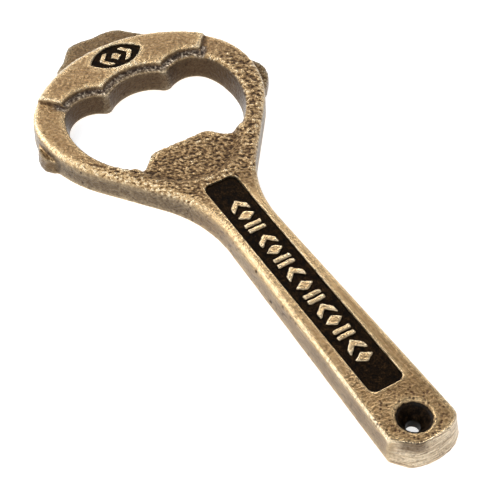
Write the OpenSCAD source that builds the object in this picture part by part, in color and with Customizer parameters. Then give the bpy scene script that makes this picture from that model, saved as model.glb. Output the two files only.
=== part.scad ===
// Souvenir bottle opener: a one-piece bronze casting that lies on its flat back,
// with a finger-scalloped ring at the head, a crown cap tab inside the ring and
// black enamel in the handle panel, the head emblem and the hanging hole.
// X runs from the head to the hanging hole, Z is up, the XZ plane is the mirror plane.

/* [Overall] */
// length over the head lobe and the handle end
overall_length = 155; // [150:0.5:160]
// height of the ring and the handle above the flat back
body_thickness = 6.6; // [6:0.1:8]

/* [Head ring] */
// radius of the far outer arc of the ring
crown_radius = 36.3; // [35:0.1:38]
// half sweep of the far outer arc, in degrees
crown_half_sweep = 42; // [40:1:44]
// radius of the two shoulders beside the far arc
shoulder_radius = 17; // [16:0.5:18]
// radius of the flanks that run from the shoulders towards the neck
flank_radius = 30; // [28:0.5:32]
// slope of the flanks where they reach the neck, in degrees
flank_slope = 38; // [36:1:40]
// radius of the hollow neck curve
neck_radius = 32; // [28:1:36]
// distance from the head lobe to the far outer arc of the ring
lobe_reach = 9.1; // [8:0.1:10]

/* [Head opening] */
// metal between the far outer arc and the middle finger scallop
rim_width = 13.4; // [12.5:0.1:14]
// radius of the middle finger scallop
middle_scallop_radius = 12.2; // [12:0.1:13]
// radius of the two outer finger scallops
side_scallop_radius = 7.9; // [7.6:0.1:8.4]
// radius that rounds the cusps between the scallops
cusp_radius = 1.3; // [1:0.1:1.6]
// half width of the opening
opening_half_width = 23.2; // [23:0.1:24]

/* [Cap tab] */
// width of the straight tip of the tab
tab_tip_width = 15.2; // [13:0.1:17]
// distance from the middle scallop to the tip of the tab
tab_gap = 25.4; // [24.5:0.1:26.5]
// radius of the round recess that takes the cap rim
cap_recess_radius = 14.5; // [14.2:0.1:14.8]
// depth of the recess below the top of the ring
cap_recess_depth = 2.5; // [1.5:0.1:3.5]

/* [Raised grip] */
// height of the raised grip above the ring
grip_height = 1.0; // [0.6:0.1:1.4]
// width of the step between the grip and the scallops
grip_step = 1.7; // [1.2:0.1:2]

/* [Base flange] */
// height of the lobes that stick out under the ring
flange_height = 3.2; // [2.5:0.1:4]
// width of the head lobe
lobe_width = 14.4; // [13:0.2:16]
// radius of the two side lobes
side_lobe_radius = 5; // [4:0.5:6]
// distance from the middle plane to the outermost point of the near side lobe
near_lobe_reach = 32.6; // [32.4:0.1:32.8]
// the same for the far side lobe
far_lobe_reach = 32.8; // [32.6:0.1:33]

/* [Handle] */
// full width of the handle where the neck curve ends
handle_neck_width = 13.0; // [12:0.1:14]
// full width of the handle at the hanging hole
handle_end_width = 16.4; // [15.5:0.1:17]
// radius of the bowed end face
end_radius = 11; // [10:0.5:12]
// how far the end face leans back between the bottom and the top
end_lean = 2; // [1:0.1:2.5]

/* [Casting] */
// how much wider the outer walls are at the back than at the top
outer_draft = 0.3; // [0.1:0.1:0.6]
// how much narrower the head opening is at the back than at the top
inner_draft = 0.7; // [0.4:0.1:1]
// width of the bevel along the outer top edges
outer_bevel = 1.0; // [0.6:0.1:1.2]
// width of the bevel along the top edge of the head opening
inner_bevel = 0.6; // [0.3:0.1:0.8]

/* [Panel] */
// length of the black panel
panel_length = 70.4; // [68:0.1:71]
// width of the black panel
panel_width = 8.7; // [8:0.1:9]
// depth of the panel recess
panel_depth = 1.2; // [0.8:0.1:1.6]
// height of the enamel on the recess floor
panel_fill = 0.7; // [0.4:0.05:1]

/* [Emblem] */
// length of the lens-shaped emblem across the head
emblem_length = 14.4; // [12:0.1:15]
// width of the emblem
emblem_width = 8.2; // [7:0.1:8.4]

/* [Hanging hole] */
// diameter of the hole at the top face
hole_top_diameter = 7.9; // [7.5:0.1:8.5]
// diameter of the straight bore at the back
hole_bore_diameter = 3.2; // [2.8:0.1:4]
// height of the straight bore
hole_bore_height = 2.6; // [2:0.1:3.5]
// thickness of the enamel lining
hole_lining = 0.3; // [0.2:0.05:0.5]

/* [Hidden] */
bronze = [0.66, 0.55, 0.36];
black = [0.07, 0.06, 0.06];
arc_step = 6;
corner_steps = 4;
end_steps = 9;
smooth = 96;
through = 1;

// positions along X
head_x = -overall_length / 2;
end_x = overall_length / 2;
crown_x = head_x + lobe_reach;
crown_centre_x = crown_x + crown_radius;
hole_inset = 8.8;
hole_x = end_x - hole_inset;
panel_to_hole = 9.1;
panel_end_x = hole_x - panel_to_hole;
panel_start_x = panel_end_x - panel_length;
neck_end_inset = 74;
handle_start_x = crown_x + neck_end_inset;
tab_x = crown_x + rim_width + tab_gap;
recess_inset = 0.8;
emblem_inset = 5.9;
emblem_x = crown_x + emblem_inset;

// centres of the outer arcs, upper half
crown_dir = [-cos(crown_half_sweep), sin(crown_half_sweep)];
crown_centre = [crown_centre_x, 0];
shoulder_centre = crown_centre + (crown_radius - shoulder_radius) * crown_dir;
shoulder_top_y = shoulder_centre[1] + shoulder_radius;
flank_centre = [shoulder_centre[0], shoulder_top_y - flank_radius];
flank_end = flank_centre + flank_radius * [sin(flank_slope), cos(flank_slope)];

// handle side line, upper half
handle_run = hole_x - handle_start_x;
handle_taper = atan((handle_end_width - handle_neck_width) / 2 / handle_run);
handle_point = [handle_start_x, handle_neck_width / 2];
end_centre_x = end_x - outer_draft - end_radius;
near_corner_r = 1.2;
far_corner_r = 2.8;
least_corner_r = 0.3;

// centres of the inner arcs, upper half
middle_centre = [crown_x + rim_width + middle_scallop_radius, 0];
side_scallop_offset = [-3.3, 14.3];
side_centre = middle_centre + side_scallop_offset;
grip_end_angle = 140;
tab_side_angle = 45;
corner_radius = 17;
corner_centre_y = opening_half_width - corner_radius;
corner_offset_y = side_centre[1] - corner_centre_y;
corner_gap = corner_radius - side_scallop_radius;
corner_offset_x = sqrt(corner_gap * corner_gap - corner_offset_y * corner_offset_y);
corner_centre = [side_centre[0] + corner_offset_x, corner_centre_y];
inner_flank_radius = 22;
inner_flank_centre = [corner_centre[0], opening_half_width - inner_flank_radius];
pocket_radius = 2.2;
pocket_depth = 4.2;
pocket_x = tab_x + pocket_depth;
pocket_centre_x = pocket_x - pocket_radius;
pocket_reach = inner_flank_radius - pocket_radius;
pocket_run = pocket_centre_x - inner_flank_centre[0];
pocket_rise = sqrt(pocket_reach * pocket_reach - pocket_run * pocket_run);
pocket_centre = [pocket_centre_x, inner_flank_centre[1] + pocket_rise];
tab_corner_radius = 1.6;
pocket_corner_radius = 2.4;

// heights
top_z = body_thickness;
grip_z = body_thickness + grip_height;
tab_z = body_thickness - cap_recess_depth;
panel_floor_z = top_z - panel_depth;
motif_drop = 0.15;
bevel_steepness = 0.8;
grip_bevel = 0.5;
grip_root = 2;
panel_corner_radius = 1.8;
emblem_depth = 1.0;
emblem_floor_z = grip_z - emblem_depth;
emblem_fill = 0.55;

// lobes of the base flange
lobe_corner_radius = 2;
lobe_root_inset = 7;
lobe_root_spread = 12.5;
side_lobe_inset = 24.6;

// raised motifs of the panel
motif_pitch = 3.9;
motif_height = 4.2;
motif_width = 2.7;
motif_bar = 0.9;
motif_groups = [3, 4, 7];
motif_group_gap = 0.8;
motif_inset = 8.9;
motif_first_x = panel_start_x + motif_inset;

// raised motifs of the emblem
emblem_lozenge = 2.8;
emblem_chevron_width = 2.4;
emblem_chevron_height = 4.8;
emblem_chevron_y = 3.4;

// points on an arc from angle a to angle b
function arc(c, r, a, b) =
    let(n = max(2, round(abs(b - a) / arc_step)))
    [for (i = [0 : n]) c + r * [cos(a + (b - a) * i / n), sin(a + (b - a) * i / n)]];

// the same with a stated number of steps
function fixed_arc(c, r, a, b, n) =
    [for (i = [0 : n]) c + r * [cos(a + (b - a) * i / n), sin(a + (b - a) * i / n)]];

// direction of a vector, in degrees
function heading(v) = atan2(v[1], v[0]);

// meeting point of the circles round p and q, on the left of the line from p to q
function meet(p, rp, q, rq) =
    let(d = norm(q - p))
    let(u = (q - p) / d)
    let(along = (rp * rp - rq * rq + d * d) / (2 * d))
    let(side = sqrt(rp * rp - along * along))
    p + along * u + side * [-u[1], u[0]];

// points of the arc that rounds corner p between the points before and after it
function round_corner(before, p, after, r) =
    let(u = (before - p) / norm(before - p))
    let(v = (after - p) / norm(after - p))
    let(half = acos(u * v) / 2)
    let(c = p + (u + v) / norm(u + v) * r / sin(half))
    let(a = heading(p + u * r / tan(half) - c))
    let(b = heading(p + v * r / tan(half) - c))
    let(turn = b - a > 180 ? b - a - 360 : b - a < -180 ? b - a + 360 : b - a)
    arc(c, r, a, a + turn);

// closed outline from an upper and a lower half, both from the head end to the hole end of the XZ plane
function closed(upper, lower) =
    concat(upper, [for (i = [len(lower) - 2 : -1 : 1]) [lower[i][0], -lower[i][1]]]);

// centre of the neck curve, which touches the flank line and the handle side
function neck_centre() =
    let(n1 = [sin(flank_slope), cos(flank_slope)])
    let(n2 = [-sin(handle_taper), cos(handle_taper)])
    let(d1 = n1 * flank_end + neck_radius)
    let(d2 = n2 * handle_point + neck_radius)
    let(det = n1[0] * n2[1] - n1[1] * n2[0])
    [(d1 * n2[1] - n1[1] * d2) / det, (n1[0] * d2 - d1 * n2[0]) / det];

// centre of the small arc between the handle side and the bowed end, for walls moved out by grow
function end_corner_centre(grow, r, centre) =
    let(n = [-sin(handle_taper), cos(handle_taper)])
    let(t = [cos(handle_taper), sin(handle_taper)])
    let(base = handle_point + (grow - r) * n - centre)
    let(reach = end_radius + grow - r)
    let(b = base * t)
    let(s = -b + sqrt(b * b - base * base + reach * reach))
    centre + base + s * t;

// half of the outer outline, with its walls moved out by grow and the end face back by lean
function outer_half(grow, lean, corner_r) =
    let(neck = neck_centre())
    let(r = max(least_corner_r, corner_r + grow))
    let(centre = [end_centre_x - lean, 0])
    let(corner = end_corner_centre(grow, r, centre))
    let(end_angle = heading(corner - centre))
    concat(
        arc(crown_centre, crown_radius + grow, 180, 180 - crown_half_sweep),
        arc(shoulder_centre, shoulder_radius + grow, 180 - crown_half_sweep, 90),
        arc(flank_centre, flank_radius + grow, 90, 90 - flank_slope),
        arc(neck, neck_radius - grow, 270 - flank_slope, 270 + handle_taper),
        fixed_arc(corner, r, 90 + handle_taper, end_angle, corner_steps),
        fixed_arc(centre, end_radius + grow, end_angle, 0, end_steps)
    );

function outer_outline(grow, lean) =
    closed(outer_half(grow, lean, far_corner_r), outer_half(grow, lean, near_corner_r));

// centre of the arc that rounds the cusp between the middle and a side scallop
function cusp_centre() =
    meet(middle_centre, middle_scallop_radius + cusp_radius, side_centre, side_scallop_radius + cusp_radius);

// outline of the head opening, with its walls moved out by grow
function opening_outline(grow) =
    let(cusp = cusp_centre())
    let(to_middle = heading(middle_centre - cusp))
    let(to_side = heading(side_centre - cusp))
    let(side_start = heading(cusp - side_centre) + 360)
    let(corner_angle = heading(side_centre - corner_centre))
    let(pocket_angle = heading(pocket_centre - inner_flank_centre))
    let(slant = grow * tan(tab_side_angle / 2))
    let(pocket_low = [pocket_x + grow, tab_tip_width / 2 + pocket_depth - slant])
    let(tip = [tab_x + grow, tab_tip_width / 2 - slant])
    let(half = concat(
        arc(middle_centre, middle_scallop_radius + grow, 180, heading(cusp - middle_centre)),
        arc(cusp, cusp_radius - grow, to_middle, to_side),
        arc(side_centre, side_scallop_radius + grow, side_start, corner_angle),
        arc(corner_centre, corner_radius + grow, corner_angle, 90),
        arc(inner_flank_centre, inner_flank_radius + grow, 90, pocket_angle),
        arc(pocket_centre, pocket_radius + grow, pocket_angle, 0),
        round_corner([pocket_x + grow, pocket_centre[1]], pocket_low, tip, pocket_corner_radius + grow),
        round_corner(pocket_low, tip, [tab_x + grow, 0], tab_corner_radius - grow),
        [[tab_x + grow, 0]]
    ))
    closed(half, half);

// outline of the raised grip, with its outer edge moved out by grow
function grip_outline(grow) =
    let(inner = middle_scallop_radius + grip_step)
    let(side = side_scallop_radius + grip_step)
    let(cusp = meet(middle_centre, inner, side_centre, side))
    let(side_a = heading(cusp - side_centre) + 360)
    let(half = concat(
        arc(crown_centre, crown_radius + grow, 180, 180 - crown_half_sweep),
        arc(side_centre, side, grip_end_angle, side_a),
        arc(middle_centre, inner, heading(cusp - middle_centre), 180)
    ))
    closed(half, half);

// solid between outlines at rising heights, given as [z, outline], with matching points
module loft(levels) {
    n = len(levels[0][1]);
    last = len(levels) - 1;
    points = [for (l = levels) for (p = l[1]) [p[0], p[1], l[0]]];
    walls = [for (k = [0 : last - 1]) for (i = [0 : n - 1]) each wall_faces(k * n, n, i)];
    bottom = [for (i = [n - 1 : -1 : 0]) i];
    top = [for (i = [0 : n - 1]) last * n + i];
    polyhedron(points, concat(walls, [bottom, top]));
}

function wall_faces(start, n, i) =
    let(j = (i + 1) % n)
    [
        [start + n + i, start + i, start + j],
        [start + n + i, start + j, start + n + j]
    ];

module slab(points, z0, z1) {
    translate([0, 0, z0])
        linear_extrude(height = z1 - z0)
            polygon(points);
}

function panel_points(grow) =
    let(x0 = panel_start_x - grow)
    let(x1 = panel_end_x + grow)
    let(y = panel_width / 2 + grow)
    let(r = panel_corner_radius + grow)
    concat(
        round_corner([x0, -y], [x0, y], [x1, y], r),
        round_corner([x0, y], [x1, y], [x1, -y], r),
        round_corner([x1, y], [x1, -y], [x0, -y], r),
        round_corner([x1, -y], [x0, -y], [x0, y], r)
    );

module emblem_lens(z0, z1) {
    rise = emblem_width / 2;
    lens_radius = (emblem_length * emblem_length / 4 + rise * rise) / (2 * rise);
    translate([emblem_x, 0, z0])
        intersection() {
            translate([lens_radius - rise, 0, 0])
                cylinder(h = z1 - z0, r = lens_radius, $fn = smooth);
            translate([rise - lens_radius, 0, 0])
                cylinder(h = z1 - z0, r = lens_radius, $fn = smooth);
        }
}

// a V-shaped motif whose point is towards -X
module chevron(z0, z1, width, height) {
    stroke = motif_bar * norm([width, height / 2]) / (height / 2);
    slab([
        [-width / 2, 0],
        [width / 2 - stroke / 2, height / 2],
        [width / 2 + stroke / 2, height / 2],
        [-width / 2 + stroke, 0],
        [width / 2 + stroke / 2, -height / 2],
        [width / 2 - stroke / 2, -height / 2]
    ], z0, z1);
}

// a solid rhombus
module lozenge(z0, z1, width, height) {
    slab([[-width / 2, 0], [0, height / 2], [width / 2, 0], [0, -height / 2]], z0, z1);
}

// two bars across the panel
module bar_pair(z0, z1, width, height) {
    for (s = [-1, 1]) {
        translate([s * (width - motif_bar) / 2 - motif_bar / 2, -height / 2, z0])
            cube([motif_bar, height, z1 - z0]);
    }
}

function motif_index(g) = g == 0 ? 0 : motif_index(g - 1) + motif_groups[g - 1];

module panel_motifs(z0, z1) {
    for (g = [0 : len(motif_groups) - 1]) {
        for (i = [0 : motif_groups[g] - 1]) {
            k = motif_index(g) + i;
            translate([motif_first_x + k * motif_pitch + g * motif_group_gap, 0, 0]) {
                if (k % 3 == 0) {
                    chevron(z0, z1, motif_width, motif_height);
                }
                if (k % 3 == 1) {
                    lozenge(z0, z1, motif_width, motif_height);
                }
                if (k % 3 == 2) {
                    bar_pair(z0, z1, motif_width, motif_height);
                }
            }
        }
    }
}

module emblem_motifs(z0, z1) {
    translate([emblem_x, 0, 0]) {
        lozenge(z0, z1, emblem_lozenge, emblem_lozenge);
        for (s = [-1, 1]) {
            translate([0, s * emblem_chevron_y, 0])
                rotate([0, 0, s * -90])
                    chevron(z0, z1, emblem_chevron_width, emblem_chevron_height);
        }
    }
}

// the hole with the given extra radius, open at both ends
module hole_shape(grow, over) {
    bore = hole_bore_diameter / 2 + grow;
    mouth = hole_top_diameter / 2 + grow;
    translate([hole_x, 0, 0])
        rotate_extrude($fn = smooth)
            polygon([
                [0, -over],
                [bore, -over],
                [bore, hole_bore_height],
                [mouth, top_z],
                [mouth, top_z + over],
                [0, top_z + over]
            ]);
}

module head_lobe() {
    half = lobe_width / 2;
    root = [crown_x + lobe_root_inset, half + lobe_root_spread];
    shoulder = [head_x, half];
    outline = concat(
        [[head_x, 0]],
        round_corner([head_x, 0], shoulder, root, lobe_corner_radius),
        [root, [root[0], 0]]
    );
    slab(closed(outline, outline), 0, flange_height);
}

module side_lobes() {
    for (y = [side_lobe_radius - near_lobe_reach, far_lobe_reach - side_lobe_radius]) {
        translate([crown_x + side_lobe_inset, y, 0])
            cylinder(h = flange_height, r = side_lobe_radius, $fn = smooth);
    }
}

// the children cut off flat at height z
module flat_top(z) {
    difference() {
        children();
        translate([-overall_length, -overall_length, z])
            cube([2 * overall_length, 2 * overall_length, overall_length]);
    }
}

module ring_and_handle() {
    bevel_z = top_z - bevel_steepness * outer_bevel;
    bevel_lean = end_lean * bevel_z / top_z;
    loft([
        [0, outer_outline(outer_draft, 0)],
        [bevel_z, outer_outline(0, bevel_lean)],
        [top_z, outer_outline(-outer_bevel, end_lean)]
    ]);
}

module grip() {
    flat_top(grip_z)
        loft([
            [top_z - grip_root, grip_outline(0)],
            [grip_z - grip_bevel, grip_outline(0)],
            [grip_z + grip_bevel, grip_outline(-2 * grip_bevel)]
        ]);
}

module head_opening() {
    bevel_z = top_z - inner_bevel;
    loft([
        [-through, opening_outline(-inner_draft)],
        [0, opening_outline(-inner_draft)],
        [bevel_z, opening_outline(0)],
        [top_z, opening_outline(inner_bevel)],
        [grip_z + through, opening_outline(inner_bevel)]
    ]);
}

module cast_body() {
    color(bronze) {
        difference() {
            union() {
                ring_and_handle();
                grip();
                head_lobe();
                side_lobes();
            }
            head_opening();
            translate([tab_x + recess_inset, 0, tab_z])
                cylinder(h = grip_z, r = cap_recess_radius, $fn = smooth);
            slab(panel_points(0), panel_floor_z, grip_z);
            emblem_lens(emblem_floor_z, grip_z + through);
            hole_shape(hole_lining, through);
        }
        panel_motifs(panel_floor_z, top_z - motif_drop);
        emblem_motifs(emblem_floor_z, grip_z - motif_drop);
    }
}

module handle_panel_enamel() {
    color(black)
        difference() {
            slab(panel_points(0), panel_floor_z, panel_floor_z + panel_fill);
            panel_motifs(panel_floor_z - through, top_z);
        }
}

module emblem_enamel() {
    color(black)
        difference() {
            emblem_lens(emblem_floor_z, emblem_floor_z + emblem_fill);
            emblem_motifs(emblem_floor_z - through, grip_z);
        }
}

module hole_enamel() {
    color(black)
        difference() {
            hole_shape(hole_lining, 0);
            hole_shape(0, through);
        }
}

cast_body();
handle_panel_enamel();
emblem_enamel();
hole_enamel();
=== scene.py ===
"""Looks for the souvenir bottle opener: an aged bronze casting with black enamel.

The casting and its enamel are described as distance fields over the CAD's own boxes, meshed on a grid,
roughened along their normals and then painted from attributes that say what kind of surface each point is.
"""

import math

import bpy
import numpy as np
from mathutils import Matrix, Vector, noise


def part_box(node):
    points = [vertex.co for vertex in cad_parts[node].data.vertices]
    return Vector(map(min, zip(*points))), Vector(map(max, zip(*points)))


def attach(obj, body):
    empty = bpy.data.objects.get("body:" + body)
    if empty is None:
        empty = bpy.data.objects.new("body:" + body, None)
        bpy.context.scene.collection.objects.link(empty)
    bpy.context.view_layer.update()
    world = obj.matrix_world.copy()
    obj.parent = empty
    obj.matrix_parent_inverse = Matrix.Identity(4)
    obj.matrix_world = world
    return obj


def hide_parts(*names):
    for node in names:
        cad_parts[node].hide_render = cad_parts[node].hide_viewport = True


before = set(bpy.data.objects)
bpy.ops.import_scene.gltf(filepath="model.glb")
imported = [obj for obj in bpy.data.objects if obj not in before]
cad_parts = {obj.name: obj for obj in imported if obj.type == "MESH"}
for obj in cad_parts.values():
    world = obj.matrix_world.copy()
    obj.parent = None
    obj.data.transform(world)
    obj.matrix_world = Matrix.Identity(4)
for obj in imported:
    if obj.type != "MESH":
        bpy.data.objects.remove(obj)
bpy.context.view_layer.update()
MM = 0.001

# ---------------------------------------------------------------- sizes, in millimetres
# boxes of the CAD nodes
body_lo, body_hi = (np.array(c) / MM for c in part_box("cast_body"))
panel_lo, panel_hi = (np.array(c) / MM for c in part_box("handle_panel_enamel"))
emblem_lo, emblem_hi = (np.array(c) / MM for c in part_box("emblem_enamel"))
hole_lo, hole_hi = (np.array(c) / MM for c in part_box("hole_enamel"))

# heights, and how much wider the casting is at the back than at the top
GRIP_HEIGHT = 1.0
GRIP_Z = body_hi[2]
TOP_Z = GRIP_Z - GRIP_HEIGHT
FLANGE_Z = 3.2
OUTER_DRAFT, INNER_DRAFT = 0.3, 0.7

# outside of the ring, from the crown of the head to the neck
HEAD_X, END_X = body_lo[0], body_hi[0]
LOBE_REACH = 9.1
CROWN_X = HEAD_X + LOBE_REACH
CROWN_R, CROWN_SWEEP = 36.3, 42
SHOULDER_R, FLANK_R, FLANK_SLOPE, NECK_R = 17, 30, 38, 32
SIDE_LOBE_X = CROWN_X + 24.6

# opening of the ring, with its three finger scallops and the cap tab
RIM_WIDTH, MIDDLE_R, SIDE_R, CUSP_R = 13.4, 12.2, 7.9, 1.3
OPENING_HALF, CORNER_R, INNER_FLANK_R, POCKET_R = 23.2, 17, 22, 2.2
POCKET_DEPTH, POCKET_CORNER_R, TAB_CORNER_R = 4.2, 2.4, 1.6
TAB_HALF, TAB_GAP = 7.6, 25.4
TAB_X = CROWN_X + RIM_WIDTH + TAB_GAP
RECESS_R, RECESS_DEPTH, RECESS_SHIFT = 14.5, 2.5, 0.8
GRIP_STEP, GRIP_END_X = 1.7, HEAD_X + 33.5
GROOVE_DEPTH, INNER_RIDGE = 0.22, 3.4
SCALLOP_CUT, FAR_SIDE_STRETCH = 0.8, 0.016

# handle, its leaning end face and its two end corners
NECK_X = CROWN_X + 74
NECK_HALF, END_HALF, END_R, END_LEAN = 6.5, 8.2, 11, 2
END_SPARE = 1.2
FAR_CORNER_R, NEAR_CORNER_R = 3.2, 1.2
PANEL_CORNER_R = 1.8
PANEL_FLOOR = panel_lo[2]

# rounding of the edges
END_EDGE, BACK_EDGE, FLANGE_FILLET = 0.28, 0.45, 0.7
OPENING_EDGE_LOW, OPENING_EDGE_TOP = 0.5, 1.15
PANEL_EDGE, EMBLEM_EDGE, MOTIF_EDGE, HOLE_EDGE = 0.12, 0.14, 0.16, 0.3

# emblem and hanging hole
EMBLEM_X = (emblem_lo[0] + emblem_hi[0]) / 2
EMBLEM_FLOOR = emblem_lo[2]
HOLE_X = (hole_lo[0] + hole_hi[0]) / 2
HOLE_MOUTH_R = (hole_hi[0] - hole_lo[0]) / 2
HOLE_BORE_R, HOLE_BORE_Z, LINING = 1.6, 2.6, 0.3
HOLE_CONE = (HOLE_MOUTH_R - LINING - HOLE_BORE_R) / (TOP_Z - HOLE_BORE_Z)

# ---------------------------------------------------------------- outlines


def direction(angle):
    """Unit vector at an angle in degrees."""
    a = np.radians(angle)
    return np.stack([np.cos(a), np.sin(a)], -1)


def arc(centre, r, a, b, spacing=3.0):
    """Points on an arc from angle a to angle b, about spacing degrees apart."""
    n = max(3, int(round(abs(b - a) / spacing)))
    return np.asarray(centre) + r * direction(np.linspace(a, b, n + 1))


def heading(v):
    """Angle of a vector in degrees."""
    return math.degrees(math.atan2(v[1], v[0]))


def meet(p, rp, q, rq):
    """Where the circles round p and q cross, on the left of the way from p to q."""
    d = np.linalg.norm(q - p)
    u = (q - p) / d
    along = (rp * rp - rq * rq + d * d) / (2 * d)
    return p + along * u + math.sqrt(rp * rp - along * along) * np.array([-u[1], u[0]])


def round_corner(before, p, after, r):
    """Arc of radius r that rounds the corner p between two neighbours."""
    before, p, after = (np.asarray(v, float) for v in (before, p, after))
    u = (before - p) / np.linalg.norm(before - p)
    v = (after - p) / np.linalg.norm(after - p)
    half = math.acos(float(u @ v)) / 2
    c = p + (u + v) / np.linalg.norm(u + v) * r / math.sin(half)
    a = heading(p + u * r / math.tan(half) - c)
    b = heading(p + v * r / math.tan(half) - c)
    turn = (b - a + 180) % 360 - 180
    return arc(c, r, a, a + turn, 12)


def closed(upper, lower):
    """One closed outline from two halves, both given for y above 0."""
    mirrored = lower[::-1] * np.array([1, -1])
    return np.concatenate([upper, mirrored])


CROWN = np.array([CROWN_X + CROWN_R, 0])
SHOULDER = CROWN + (CROWN_R - SHOULDER_R) * direction(180 - CROWN_SWEEP)
SHOULDER_TOP = SHOULDER[1] + SHOULDER_R
FLANK = np.array([SHOULDER[0], SHOULDER_TOP - FLANK_R])
FLANK_END = FLANK + FLANK_R * direction(90 - FLANK_SLOPE)
TAPER = math.degrees(math.atan((END_HALF - NECK_HALF) / (HOLE_X - NECK_X)))
MIDDLE = np.array([CROWN_X + RIM_WIDTH + MIDDLE_R, 0])
SIDE = MIDDLE + [-3.3, 14.3]


def outer_half(grow, lean, corner_r):
    """Half of the casting's outside, grown all round, with its end face moved back by lean."""
    flank_normal, handle_normal = direction(90 - FLANK_SLOPE), direction(90 + TAPER)
    neck_point = np.array([NECK_X, NECK_HALF])
    reaches = np.array([flank_normal @ FLANK_END + NECK_R, handle_normal @ neck_point + NECK_R])
    neck = np.linalg.solve(np.array([flank_normal, handle_normal]), reaches)
    r = max(0.3, corner_r + grow)
    centre = np.array([END_X + END_SPARE - OUTER_DRAFT - END_R - lean, 0])
    base = neck_point + (grow - r) * handle_normal - centre
    b = base @ direction(TAPER)
    reach = END_R + grow - r
    corner = centre + base + (-b + math.sqrt(b * b - base @ base + reach**2)) * direction(TAPER)
    end_angle = heading(corner - centre)
    return np.concatenate([
        arc(CROWN, CROWN_R + grow, 180, 180 - CROWN_SWEEP),
        arc(SHOULDER, SHOULDER_R + grow, 180 - CROWN_SWEEP, 90, 4)[1:],
        arc(FLANK, FLANK_R + grow, 90, 90 - FLANK_SLOPE)[1:],
        arc(neck, NECK_R - grow, 270 - FLANK_SLOPE, 270 + TAPER)[1:],
        arc(corner, r, 90 + TAPER, end_angle, 12),
        arc(centre, END_R + grow, end_angle, 0, 4)[1:],
    ])


def outer_outline(grow, lean):
    return closed(outer_half(grow, lean, FAR_CORNER_R), outer_half(grow, lean, NEAR_CORNER_R))


def opening_outline(grow):
    """The ring's opening: three scallops, two corners, two pockets and the cap tab between them."""
    corner_y = OPENING_HALF - CORNER_R
    reach, rise = CORNER_R - SIDE_R, SIDE[1] - corner_y
    corner = np.array([SIDE[0] + math.sqrt(reach**2 - rise**2), corner_y])
    inner = np.array([corner[0], OPENING_HALF - INNER_FLANK_R])
    pocket_x = TAB_X + POCKET_DEPTH
    run = pocket_x - POCKET_R - inner[0]
    pocket = np.array([pocket_x - POCKET_R, inner[1] + math.sqrt((INNER_FLANK_R - POCKET_R) ** 2 - run**2)])
    cusp = meet(MIDDLE, MIDDLE_R + CUSP_R, SIDE, SIDE_R + CUSP_R)
    corner_angle = heading(SIDE - corner)
    pocket_angle = heading(pocket - inner)
    slant = grow * math.tan(math.radians(22.5))  # the pockets' sides run at 45 degrees
    low = [pocket_x + grow, TAB_HALF + POCKET_DEPTH - slant]
    tip = [TAB_X + grow, TAB_HALF - slant]
    half = np.concatenate([
        arc(MIDDLE, MIDDLE_R + grow, 180, heading(cusp - MIDDLE), 4),
        arc(cusp, CUSP_R - grow, heading(MIDDLE - cusp), heading(SIDE - cusp), 12),
        arc(SIDE, SIDE_R + grow, heading(cusp - SIDE) + 360, corner_angle, 5),
        arc(corner, CORNER_R + grow, corner_angle, 90, 4)[1:],
        arc(inner, INNER_FLANK_R + grow, 90, pocket_angle, 4)[1:],
        arc(pocket, POCKET_R + grow, pocket_angle, 0, 12)[1:],
        round_corner([pocket_x + grow, pocket[1]], low, tip, POCKET_CORNER_R + grow),
        round_corner(low, tip, [TAB_X + grow, 0], TAB_CORNER_R - grow),
    ])
    return closed(half, half)


def grip_outline():
    """The raised grip: the scallops moved outwards, and a straight cut across the ring at each end."""
    inner, side = MIDDLE_R + GRIP_STEP, SIDE_R + GRIP_STEP
    cusp = meet(MIDDLE, inner, SIDE, side)
    outside = CROWN + (CROWN_R + 6) * direction(180 - CROWN_SWEEP)
    start_angle = 142
    start = SIDE + side * direction(start_angle)
    across = (outside - start) / np.linalg.norm(outside - start)
    half = np.concatenate([
        [[HEAD_X - 4, 0], [HEAD_X - 4, outside[1]], outside, start - 0.8 * across],
        arc(SIDE, side, start_angle, heading(cusp - SIDE) + 360, 5),
        arc(MIDDLE, inner, heading(cusp - MIDDLE), 180, 4)[1:],
    ])
    return closed(half, half)


def beside(x, points):
    """An outline whose points are given from the place x on the middle line."""
    return np.array([[x + along, across] for along, across in points])


# lobes of the base flange, which are cast unevenly
HEAD_LOBE = beside(HEAD_X, [
    (7.6, -14.2), (5.1, -11.0), (2.4, -9.0), (0.6, -7.3), (0.15, -5.6), (0, -3.0), (0.35, -0.4),
    (0, 3.2), (0.2, 6.0), (1.3, 8.2), (4.0, 10.6), (6.8, 13.6), (14, 14), (14, -14),
])
NEAR_LOBE = beside(SIDE_LOBE_X, [
    (-5.8, -24.0), (-5.1, -29.0), (-3.8, -30.6), (-1.6, -31.6), (0.6, -32.0),
    (2.6, -31.7), (4.4, -30.2), (5.6, -27.5), (5.2, -24.0),
])
FAR_LOBE = beside(SIDE_LOBE_X, [
    (-5.6, 24.0), (-5.0, 29.5), (-3.4, 32.3), (-1.4, 33.4), (1.2, 33.7),
    (3.6, 33.1), (5.6, 31.8), (8.2, 29.6), (10.3, 26.0), (5.8, 24.0),
])


def end_outline(points):
    """A cut round the handle's end, whose other sides are far outside the casting."""
    behind, straight, aside = HEAD_X - 20 - END_X, -8, 60
    start = [(behind, -aside), (straight, -aside)]
    return beside(END_X, start + points + [(straight, aside), (behind, aside)])


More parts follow.
